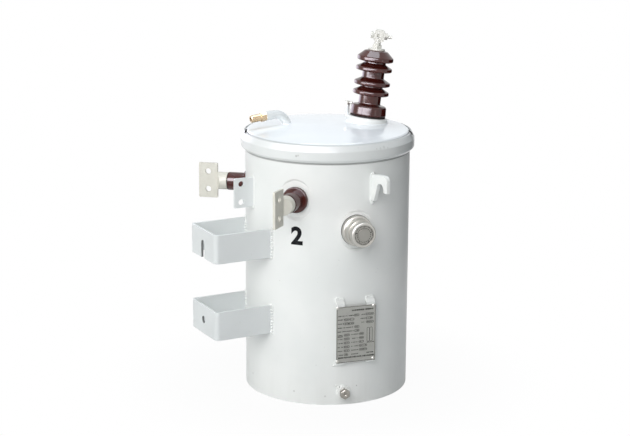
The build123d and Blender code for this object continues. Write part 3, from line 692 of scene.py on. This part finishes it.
def rivetTree():
    # low domed heads at the guide's points, all facing one way
    given = startTree("rivetHeads", {"Radius": "Float", "Height": "Float", "Outward": "Vector"})
    points = given["Geometry"]
    ball = {"Segments": 16, "Rings": 8, "Radius": given["Radius"]}
    ball = points.node("GeometryNodeMeshUVSphere", {}, ball)
    flat = {0: 1.0, 1: 1.0, 2: given["Height"] / given["Radius"]}
    flat = points.node("ShaderNodeCombineXYZ", {}, flat)
    head = points.node("GeometryNodeTransform", {}, {"Geometry": ball, "Scale": flat})
    outward = {"Vector": given["Outward"]}
    facing = points.node("FunctionNodeAlignRotationToVector", {"axis": "Z"}, outward)
    return finishTree(given, spread(points, head, Rotation=facing))


beads = beadTree()
drops = dropTree()
threads = threadTree()
outlines = outlineTree()
marks = marksTree()
dialTicks = ringTree()
rivets = rivetTree()
print("trees ready")


# welds round everything that is fixed to the tank and the cover
# outlines are half width, half height and corner; feet are middle, lean and radius
weldLook = {
    "out": 0.0004,      # of a bead's middle, from the wall
    "stripOut": 0.0014,
    "ripple": 0.0034,
    "depth": 0.3,
    "uneven": 0.4,
    "hangerRadius": 0.00437,
    "fittingRadius": 0.002415,
    "coverRadius": 0.00184,
    "stripRadius": 0.00299,
    "hangerLevels": (0.199, 0.387),
    "hangerLegs": (-0.0685, 0.0685),      # from the middle to each leg
    "hangerOutline": (0.0038, 0.0358, 0.003),
    "hangerRipple": 0.0074,
    "hangerDepth": 0.8,
    "groundLevel": 0.5,
    "groundOutline": (0.0038, 0.0364, 0.003),
    "lugs": (86.0, -86.0),
    "lugLevel": 0.5288,
    "lugOutline": (0.0058, 0.0338, 0.003),
    "drainOutline": (0.0158, 0.0158, 0.0158),
    "feet": (
        ((0.109, 0.0, 0.6447), 8.0, 0.0497),
        ((-0.0817, 0.0594, 0.6452), 0.0, 0.0104),
        ((0.0858, 0.0575, 0.6451), 0.0, 0.0052),
    ),
    # ends of the plate's strips: first and last millimetre to the right of its middle, and level
    "strips": ((-49, -27, 0.2648), (27, 49, 0.2648), (-55, -29, 0.1004), (29, 53, 0.1030)),
}


def layBead(name, guide, radius, seed, slot="tank_paint", **changed):
    values = {
        "Radius": radius,
        "Ripple": weldLook["ripple"],
        "Depth": weldLook["depth"],
        "Uneven": weldLook["uneven"],
        "Taper": 0.0,
        "Seed": seed,
        "Material": finishes[slot],
    }
    addPiece(name, grown(name, beads, guide, {**values, **changed}), slot)


def makeWelds():
    hangers = []
    for level in weldLook["hangerLevels"]:
        for side in weldLook["hangerLegs"]:
            hangers.append(wallLoop(180, side, level, weldLook["hangerOutline"]))
    deep = {"Ripple": weldLook["hangerRipple"], "Depth": weldLook["hangerDepth"]}
    layBead("hangerWelds", guideMesh("hangerWelds", hangers), weldLook["hangerRadius"], 3, **deep)

    fittings = [wallLoop(180, 0, weldLook["groundLevel"], weldLook["groundOutline"])]
    for azimuth in weldLook["lugs"]:
        fittings.append(wallLoop(azimuth, 0, weldLook["lugLevel"], weldLook["lugOutline"]))
    fittings.append(wallLoop(drainSpot["azimuth"], 0, drainSpot["level"], weldLook["drainOutline"]))
    layBead("fittingWelds", guideMesh("fittingWelds", fittings), weldLook["fittingRadius"], 5)

    feet = []
    for foot, lean, radius in weldLook["feet"]:
        axis = Vector((sin(radians(lean)), 0, cos(radians(lean))))
        feet.append(domeLoop(Vector(foot), axis, radius))
    layBead("coverWelds", guideMesh("coverWelds", feet), weldLook["coverRadius"], 7, "cover_paint")

    ends = []
    azimuth, out = plateSpot["azimuth"], weldLook["stripOut"]
    for first, last, level in weldLook["strips"]:
        ends.append([wallSpot(azimuth, x / 1000, level, out) for x in range(first, last + 1, 2)])
    layBead("stripWelds", guideMesh("stripWelds", [], ends), weldLook["stripRadius"], 11, Taper=1.0)


# lumps left at the ends of welds
lumpLook = {
    "uneven": 0.0016,
    # azimuth, to the right, level and size
    "lumps": (
        (86, 0.001, 0.5632, 0.0042), (86, -0.001, 0.4938, 0.0046),
        (-86, 0.001, 0.5632, 0.0042), (-86, -0.001, 0.4938, 0.0046),
        (180, 0.001, 0.4625, 0.005), (180, -0.001, 0.5375, 0.0036),
        (180, 0.0685, 0.4235, 0.0034), (180, 0.0685, 0.1625, 0.0036),
        (180, -0.0685, 0.1625, 0.0036), (180, -0.0685, 0.4235, 0.0034),
        (-106, -0.013, 0.044, 0.0034), (-106, -0.019, 0.049, 0.0022),
    ),
}


def makeLumps():
    places = [wallSpot(*lump[:3], weldLook["out"]) for lump in lumpLook["lumps"]]
    guide = pointMesh("weldLumps", places, [lump[3] for lump in lumpLook["lumps"]])
    values = {"Uneven": lumpLook["uneven"], "Seed": 4, "Material": finishes["tank_paint"]}
    addPiece("weldLumps", grown("weldLumps", drops, guide, values), "tank_paint")


makeWelds()
makeLumps()
print("welds laid")


# threads on the bolts: the two ends of each, its radius, its pitch and its slot
threadLook = {
    "clampThread": ((0.1515, -0.0070, 0.8521), (0.1669, -0.0152, 0.8495), 0.0039, 0.00125, "zinc_steel"),
    "postThread": ((0.0858, 0.0575, 0.6560), (0.0858, 0.0575, 0.6790), 0.0049, 0.0015, "cover_paint"),
}
ridgeShare = 0.34      # radius of the ridge, as a share of the pitch


def makeThreads():
    for name, (start, end, radius, pitch, slot) in threadLook.items():
        values = {"Radius": radius, "Pitch": pitch, "Ridge": pitch * ridgeShare}
        values["Material"] = finishes[slot]
        addPiece(name, grown(name, threads, guideMesh(name, [], [(start, end)]), values), slot)


makeThreads()
print("threads cut")


# the rating plate: rows of plain upright marks that spell nothing, some inside outlined fields;
# places on it are in millimetres from its middle
plateLook = {
    "line": 0.0008,
    "rise": 0.00012,
    "small": {"Pitch": 0.0014, "Height": 0.0027, "Gaps": 0.12, "Seed": 2},
    "large": {"Pitch": 0.0021, "Height": 0.0042, "Gaps": 0.08, "Seed": 5},
    # start, end and level of each run of marks
    "titles": ((-10.3, 42.5, 59.2), (-44, 45.2, -56.6)),
    "entries": (
        (-46, -34, 38), (-46, -32, 28), (-46, -7, 18), (-46, -7, 8.5), (-46, -34, -3.8),
        (13.7, 22, 46.8), (-46, -7, 47), (11.4, 22, 37), (14, 20, 27.5), (28, 45, -23.5),
        (27, 44, -49),
    ),
    # start, width and level of each outlined field
    "fields": (
        (-5.4, 12.7, 47), (24, 20.5, 47), (-30.6, 12, 37.6), (-17.5, 12.4, 37.6), (24, 17.5, 36.8),
        (-31, 25.5, 27.6), (25, 19, 27.4), (-4.4, 12, 18), (-4.4, 12, 8.5),
    ),
    "fieldHeight": 5.2,
    "fieldInset": 2,      # of the marks inside a field
    # the lower rows: the same two runs in each, and start and width of its fields
    "topRow": -0.5,
    "rowPitch": 9.8,
    "rowEntries": ((-46, -33.5), (-11.2, 5.5)),
    "rowFields": 3 * [((-30.4, 14), (8, 11.5))] + 2 * [((-30.4, 14), (8, 20))] + [((-30.4, 10),)],
    # middle, half sizes and corner of the two upright boxes and of the border
    "boxes": ((31, -4, 3.2, 17.5, 3), (38, -4, 3.2, 17.5, 3), (0, 0, 48.2, 68.2, 2)),
    "rivet": {"Radius": 0.0034, "Height": 0.0016},
    "rivets": ((-47.2, 67.2), (43, 67.2), (-47.2, -64.5), (43, -64.5)),
}


def faceMatrix(azimuth, level, reach):
    # from a flat sheet, with X to the right and Y up, to a face that looks outwards
    turn = radians(azimuth)
    right = Vector((-sin(turn), cos(turn), 0))
    outward = Vector((cos(turn), sin(turn), 0))
    middle = outward * reach + Vector((0, 0, level))
    return Matrix.Translation(middle) @ Matrix((right, (0, 0, 1), outward)).transposed().to_4x4()


def flatLoop(x, y, halfWidth, halfHeight, corner):
    outline = roundedLoop(halfWidth, halfHeight, corner, 3)
    return [((x + u) / 1000, (y + v) / 1000, 0) for u, v in outline]


def markRows(name, rows, kind):
    lines = [((start / 1000, y / 1000, 0), (end / 1000, y / 1000, 0)) for start, end, y in rows]
    values = {**plateLook[kind], "Material": finishes["plateInk"]}
    return grown(name, marks, guideMesh(name, [], lines), values)


def makePlate():
    entries, fields = list(plateLook["entries"]), list(plateLook["fields"])
    for row, boxes in enumerate(plateLook["rowFields"]):
        level = plateLook["topRow"] - row * plateLook["rowPitch"]
        entries += [(start, end, level) for start, end in plateLook["rowEntries"]]
        fields += [(start, width, level) for start, width in boxes]
    inset, half = plateLook["fieldInset"], plateLook["fieldHeight"] / 2
    inside = [(start + inset, start + width - inset, y) for start, width, y in fields]
    loops = [flatLoop(start + width / 2, y, width / 2, half, half) for start, width, y in fields]
    loops += [flatLoop(*box) for box in plateLook["boxes"]]
    values = {"Width": plateLook["line"], "Height": plateLook["rise"] * 2}
    values["Material"] = finishes["plateInk"]
    frames = grown("plateFields", outlines, guideMesh("plateFields", loops), values)
    small = markRows("plateEntries", entries + inside, "small")
    large = markRows("plateTitles", plateLook["titles"], "large")
    sheet = faceMatrix(plateSpot["azimuth"], plateSpot["level"], plateSpot["face"])
    for mesh in (small, large, frames):
        mesh.transform(sheet)
        addPiece(mesh.name, mesh, "plate_metal")

    heads = [sheet @ Vector((x / 1000, y / 1000, 0)) for x, y in plateLook["rivets"]]
    guide = pointMesh("plateRivets", heads, [1] * len(heads))
    values = {**plateLook["rivet"], "Outward": sheet.to_3x3() @ Vector((0, 0, 1))}
    values["Material"] = finishes["zinc_steel"]
    addPiece("plateRivets", grown("plateRivets", rivets, guide, values), "zinc_steel")


def digitMesh(text, size, boldness, depth):
    # a plain number, centred on the origin and lying flat
    curve = bpy.data.curves.new("number" + text, "FONT")
    curve.body = text
    curve.size = size
    curve.offset = boldness
    curve.extrude = depth / 2
    curve.align_x = "CENTER"
    curve.align_y = "CENTER"
    mesh = evaluatedMesh(placed(curve.name, curve), curve.name)
    low = Vector([min(v.co[i] for v in mesh.vertices) for i in range(3)])
    high = Vector([max(v.co[i] for v in mesh.vertices) for i in range(3)])
    mesh.transform(Matrix.Translation(-(low + high) / 2))
    return mesh


def makeDial():
    sheet = faceMatrix(dialLook["azimuth"], dialLook["level"], dialLook["face"])
    ink = finishes["dialInk"]
    meshes = []
    for name in ("dashes", "dots"):
        values = dict(zip(("Count", "Radius", "Length", "Width"), dialLook[name]), Material=ink)
        title = "dial" + name.title()
        meshes.append(grown(title, dialTicks, bpy.data.meshes.new(title), values))
    numbers = []
    for place, number in enumerate(dialLook["numbers"]):
        mesh = digitMesh(number, dialLook["numberSize"], dialLook["boldness"], dialLook["rise"])
        turn = Matrix.Rotation(-2 * pi * place / len(dialLook["numbers"]), 4, "Z")
        mesh.transform(turn @ Matrix.Translation((0, dialLook["numberRing"], dialLook["out"])))
        numbers.append(mesh)
    for mesh in meshes + [finishedMesh("dialNumbers", workMesh(*numbers), ink)]:
        mesh.transform(sheet)
        addPiece(mesh.name, mesh, "tap_metal")


# the two plain numbers painted beside the low voltage bushings
numeralLook = {
    "height": 0.058,      # type size, a little more than the figure's own height
    "level": 0.4157,
    "places": {"2": -138.9, "1": 138.9},
    "boldness": 0.0022,
    "rise": 0.0002,
    "out": 0.00025,
    "slice": 0.0025,      # width of the strips that bend round the wall
}


def makeNumerals():
    kind = [numeralLook[word] for word in ("height", "boldness", "rise")]
    for text, azimuth in numeralLook["places"].items():
        work = workMesh(digitMesh(text, *kind))
        for step in range(-10, 11):
            whole = work.verts[:] + work.edges[:] + work.faces[:]
            cut = (step * numeralLook["slice"], 0, 0)
            bmesh.ops.bisect_plane(work, geom=whole, plane_co=cut, plane_no=(1, 0, 0))
        for v in work.verts:
            turn = radians(azimuth) + v.co.x / tankRadius
            reach = tankRadius + numeralLook["out"] + v.co.z
            v.co = polar(reach, turn, numeralLook["level"] + v.co.y)
        mesh = finishedMesh("numeral" + text, work, finishes["markPaint"])
        addPiece(mesh.name, mesh, "tank_paint")


# two short dark rubber strips at the ends of the clamp band, standing in for the shaded gap between band
# and cover there: painted shade
gapShadeLook = {
    "radius": 0.0017,
    "uneven": 0.12,
    # points along each end: distance from the axis, azimuth and level
    "ends": (
        ((0.1915, 152, 0.6348), (0.1985, 159, 0.6352), (0.2055, 167, 0.6345)),
        ((0.1955, -31, 0.6350), (0.2035, -38, 0.6352), (0.2115, -44.5, 0.6343)),
    ),
}


# lays the dark strips that paint in the shaded gap at the band's two ends
def makeGapShadeStrips():
    lines = []
    for points in gapShadeLook["ends"]:
        lines.append([polar(reach, radians(azimuth), level) for reach, azimuth, level in points])
    guide = guideMesh("gapShadeStrips", [], lines)
    changed = {"Uneven": gapShadeLook["uneven"], "Taper": 1.0}
    layBead("gapShadeStrips", guide, gapShadeLook["radius"], 9, "gasket_rubber", **changed)


# the drain's hexagon plug, with a chamfered end and a small dimple
plugLook = {
    "acrossFlats": 0.0215,
    "start": 0.2092,      # from the tank's axis
    "length": 0.0125,
    "chamferDepth": 0.00121,
    "endInset": 0.00198,
    "endRounding": 0.85,      # 1 gives a round end, 0 one with six corners
    "dimple": (0.0036, 0.00198, 0.0011),      # outer radius, inner radius, depth
    "segments": 48,
}


def makePlug():
    flat, length = plugLook["acrossFlats"] / 2, plugLook["length"]
    outer, inner, depth = plugLook["dimple"]
    turns = [2 * pi * i / plugLook["segments"] for i in range(plugLook["segments"])]
    hexagon = [flat / cos((turn + pi / 6) % (pi / 3) - pi / 6) for turn in turns]
    end = [reach - plugLook["endInset"] - (reach - flat) * plugLook["endRounding"] for reach in hexagon]
    rows = [(hexagon, 0), (hexagon, length - plugLook["chamferDepth"]), (end, length)]
    rows += [([outer] * len(turns), length), ([inner] * len(turns), length - depth)]
    work = bmesh.new()
    rings = []
    for reaches, height in rows:
        rings.append([work.verts.new(polar(r, t, height)) for r, t in zip(reaches, turns)])
    bridgeRings(work, rings)
    work.faces.new(rings[-1])
    work.faces.new(rings[0][::-1])
    mesh = finishedMesh("drainPlug", work, finishes["plug_bronze"])
    mesh.transform(faceMatrix(drainSpot["azimuth"], drainSpot["level"], plugLook["start"]))
    addPiece("drainHexPlug", mesh, "plug_bronze", "drain_plug")


makePlug()
makePlate()
makeDial()
makeNumerals()
makeGapShadeStrips()
print("plate, dial, numbers and seal ends made")


# the high voltage porcelain, turned from one outline: radius, height and rounding of each corner
turnedLook = {
    "foot": (0.109, 0.0, 0.6447),
    "lean": 8.0,
    "seat": 0.016,       # height of the flange above the foot
    "segments": 96,
    "sheds": (0.0575, 0.0808, 0.1158),
    "flange": (
        (0.0, -0.045, 0), (0.023, -0.045, 0), (0.023, 0.0, 0), (0.0444, 0.0, 0.004),
        (0.0426, 0.0250, 0.0075), (0.027, 0.0275, 0.004),
    ),
    "shed": (
        (0.027, -0.0035, 0.004), (0.0395, -0.0078, 0.003), (0.0444, -0.0052, 0.003),
        (0.0444, 0.0022, 0.0048), (0.027, 0.0112, 0.004),
    ),
    "top": (
        (0.027, 0.1365, 0.004), (0.0395, 0.1324, 0.003), (0.0444, 0.1350, 0.003),
        (0.0444, 0.1432, 0.0052), (0.0280, 0.1580, 0.006), (0.0205, 0.1600, 0.001),
        (0.0, 0.1600, 0),
    ),
}


def roundedCorner(before, corner, after, radius, steps=6):
    # points of an arc that takes the corner off, with one more just beside each end of it
    toBefore = (Vector(before) - Vector(corner)).normalized()
    toAfter = (Vector(after) - Vector(corner)).normalized()
    half = toBefore.angle(toAfter) / 2
    reach = radius / tan(half)
    centre = Vector(corner) + (toBefore + toAfter).normalized() * (radius / sin(half))
    first = Vector(corner) + toBefore * reach - centre
    last = Vector(corner) + toAfter * reach - centre
    arc = [centre + first.slerp(last, step / steps) * radius for step in range(steps + 1)]
    beside = radius * 0.08
    return [arc[0] + toBefore * beside, *arc, arc[-1] + toAfter * beside]


def turnedMesh(name, outline, segments, material):
    # an outline of radius and height turned round the Z axis, closed at both ends
    work = bmesh.new()
    turns = [2 * pi * i / segments for i in range(segments)]
    rings = []
    for reach, height in outline:
        if reach < 0.00001:
            rings.append([work.verts.new((0, 0, height))] * segments)
        else:
            rings.append([work.verts.new(polar(reach, t, height)) for t in turns])
    bridgeRings(work, rings)
    mesh = finishedMesh(name, work, material)
    mesh.shade_smooth()
    return mesh


def makePorcelain():
    corners = list(turnedLook["flange"])
    for level in turnedLook["sheds"]:
        corners += [(r, level + z, rounding) for r, z, rounding in turnedLook["shed"]]
    corners += turnedLook["top"]
    outline = []
    for i, (reach, height, rounding) in enumerate(corners):
        if rounding:
            outline += roundedCorner(corners[i - 1][:2], (reach, height), corners[i + 1][:2], rounding)
        else:
            outline.append(Vector((reach, height)))
    mesh = turnedMesh("turnedPorcelain", outline, turnedLook["segments"], finishes["brown_porcelain"])
    foot = Matrix.Translation(turnedLook["foot"]) @ Matrix.Rotation(radians(turnedLook["lean"]), 4, "Y")
    mesh.transform(foot @ Matrix.Translation((0, 0, turnedLook["seat"])))
    addPiece("turnedPorcelain", mesh, "brown_porcelain", "hv_porcelain")


makePorcelain()
print("porcelain turned")


# plates with their sharp edges taken off: CAD node, width of the rounding
softEdges = {
    "hanger_upper": 0.0009,
    "hanger_lower": 0.0009,
    "lifting_lug_front": 0.0011,
    "lifting_lug_back": 0.0011,
    "ground_pad": 0.0008,
    "lv_terminal_front": 0.0007,
    "lv_terminal_back": 0.0007,
    "plate_strip_left": 0.0005,
    "plate_strip_right": 0.0005,
}


def makeSoftEdges():
    for node, width in softEdges.items():
        work = workMesh(cadNodes[node].data)
        bmesh.ops.dissolve_limit(work, angle_limit=radians(1.5), verts=work.verts, edges=work.edges)
        mesh = finishedMesh(node, work, cadNodes[node].material_slots[0].material)
        for layer in [a for a in mesh.attributes if a.name == "custom_normal"]:
            mesh.attributes.remove(layer)
        mesh.shade_smooth()
        holder = placed(node, mesh)
        rounding = holder.modifiers.new("rounding", "BEVEL")
        rounding.width = width
        rounding.segments = 2
        rounding.limit_method = "ANGLE"
        rounding.angle_limit = radians(40)
        holder.modifiers.new("shading", "WEIGHTED_NORMAL").keep_sharp = False
        words = node.split("_")
        name = words[0] + "".join(word.title() for word in words[1:])
        addPiece(name, evaluatedMesh(holder, name), slotNames[node], node)


makeSoftEdges()
print("edges softened")


# pale floor, soft lamps and the camera
studio = {
    "floorSize": 40.0,
    "floorColour": (218, 219, 220),
    "floorMottle": (190, 191, 193),
    "floorGlow": 0.95,      # share of plain white near the object, where the shadow shows
    "floorFade": (0.25, 0.6),      # distances between which the floor turns all white
    "ambient": 0.24,
    "flag": (1.2, 0.9, 2.0, 0.46, 1.15),      # width, height, azimuth, level, distance
    "flagColour": (14, 14, 15),
    "flagMottle": (24, 24, 26),
}
# power, width, height, azimuth, level, distance, level it is aimed at, colour;
# a lamp with Gloss in its name lights the highlights only
lamps = {
    "keyLamp": (40.5, 2.0, 2.0, -135.0, 1.75, 2.3, 0.35, (1, 1, 1)),
    "topCard": (30.0, 1.5, 1.2, 50.0, 2.8, 0.45, 0.35, (0.86, 0.92, 1)),
    "leftCard": (14.0, 1.4, 1.2, 178.0, 0.8, 2.4, 0.8, (1, 1, 0.98)),
    "rightStrip": (0.25, 0.03, 0.3, -70.0, 0.7, 1.9, 0.7, (1, 1, 1)),
    "frontGloss": (60.0, 2.5, 0.66, -144.0, 1.085, 1.15, 0.35, (0.95, 0.9, 1)),
    "leftGloss": (15.0, 1.5, 1.2, 104.0, 0.9, 1.9, 0.9, (0.88, 0.82, 1)),
}


def seenDirectly(tree):
    # 1 for rays from the camera and for those off gloss and through glass, which show the background
    rays = tree.node("ShaderNodeLightPath")
    count = rays + rays.other("Is Glossy Ray") + rays.other("Is Transmission Ray")
    return rays.math("MINIMUM", count, 1.0)


def boardMesh(name, width, height, material):
    # a flat board in the middle of the scene, facing up
    x, y = width / 2, height / 2
    mesh = bpy.data.meshes.new(name)
    mesh.from_pydata([(-x, -y, 0), (x, -y, 0), (x, y, 0), (-x, y, 0)], [], [(0, 1, 2, 3)])
    mesh.materials.append(material)
    return mesh


def makeFloor():
    material, tree = startMaterial("studioPaper")
    place = objectPlace(tree)
    pale, mottle = tone(*studio["floorColour"]), tone(*studio["floorMottle"])
    paper = mixTone(tree, noise(tree, place, 3.0) * 0.1, pale, mottle)
    plain = tree.node("ShaderNodeBsdfDiffuse", {}, {"Color": paper})
    glow = tree.node("ShaderNodeEmission", {}, {"Color": (1, 1, 1, 1), "Strength": 1.0})
    away = tree.node("ShaderNodeVectorMath", {"operation": "LENGTH"}, {0: place}, 1)
    share = studio["floorGlow"] + ease(away, *studio["floorFade"]) * (1 - studio["floorGlow"])
    both = tree.node("ShaderNodeMixShader", {}, {0: seenDirectly(tree) * share, 1: plain, 2: glow})
    tree.node("ShaderNodeOutputMaterial", {}, {"Surface": both})
    size = studio["floorSize"]
    placed("studioFloor", boardMesh("studioFloor", size, size, material))


def makeWorld():
    world = bpy.data.worlds.new("studioWorld")
    world.use_nodes = True
    world.node_tree.nodes.clear()
    tree = Wire(world.node_tree)
    seen = seenDirectly(tree)
    strength = studio["ambient"] + seen * (1 - studio["ambient"])
    back = tree.node("ShaderNodeBackground", {}, {"Color": (1, 1, 1, 1), "Strength": strength})
    tree.node("ShaderNodeOutputWorld", {}, {"Surface": back})
    bpy.context.scene.world = world


def makeFlag():
    # a black board to the right, seen only as a dark reflection and as shade
    material, tree = startMaterial("blackCloth")
    black, mottle = tone(*studio["flagColour"]), tone(*studio["flagMottle"])
    shade = mixTone(tree, noise(tree, objectPlace(tree), 40.0), black, mottle)
    cloth = tree.node("ShaderNodeBsdfDiffuse", {}, {"Color": shade})
    tree.node("ShaderNodeOutputMaterial", {}, {"Surface": cloth})
    width, height, azimuth, level, distance = studio["flag"]
    mesh = boardMesh("blackFlag", width, height, material)
    mesh.transform(faceMatrix(azimuth, level, distance))
    flag = placed("blackFlag", mesh)
    flag.visible_camera = False


def makeLamp(name, power, width, height, azimuth, level, distance, aim, colour):
    lamp = bpy.data.lights.new(name, "AREA")
    lamp.shape = "RECTANGLE"
    lamp.size = width
    lamp.size_y = height
    lamp.energy = power
    lamp.color = colour
    holder = placed(name, lamp)
    holder.location = polar(distance, radians(azimuth), level)
    away = holder.location - Vector((0, 0, aim))
    holder.rotation_euler = away.to_track_quat("Z", "Y").to_euler()
    holder.visible_camera = False
    holder.visible_diffuse = "Gloss" not in name


viewpoint = {
    "location": (-1.8836, -3.5129, 1.4040),
    "turn": (76.03, -0.30, -27.70),
    "lens": 95.53,
    "sensor": 36.0,
    "farthest": 60.0,
}


def makeCamera():
    camera = bpy.data.cameras.new("camera")
    camera.sensor_width = viewpoint["sensor"]
    camera.lens = viewpoint["lens"]
    camera.clip_end = viewpoint["farthest"]
    holder = placed("camera", camera)
    holder.location = viewpoint["location"]
    holder.rotation_euler = [radians(a) for a in viewpoint["turn"]]
    bpy.context.scene.camera = holder


makeFloor()
makeFlag()
makeWorld()
for lampName, lampValues in lamps.items():
    makeLamp(lampName, *lampValues)
makeCamera()
bpy.context.scene.view_settings.view_transform = "Standard"
print("stage, lamps and camera ready")
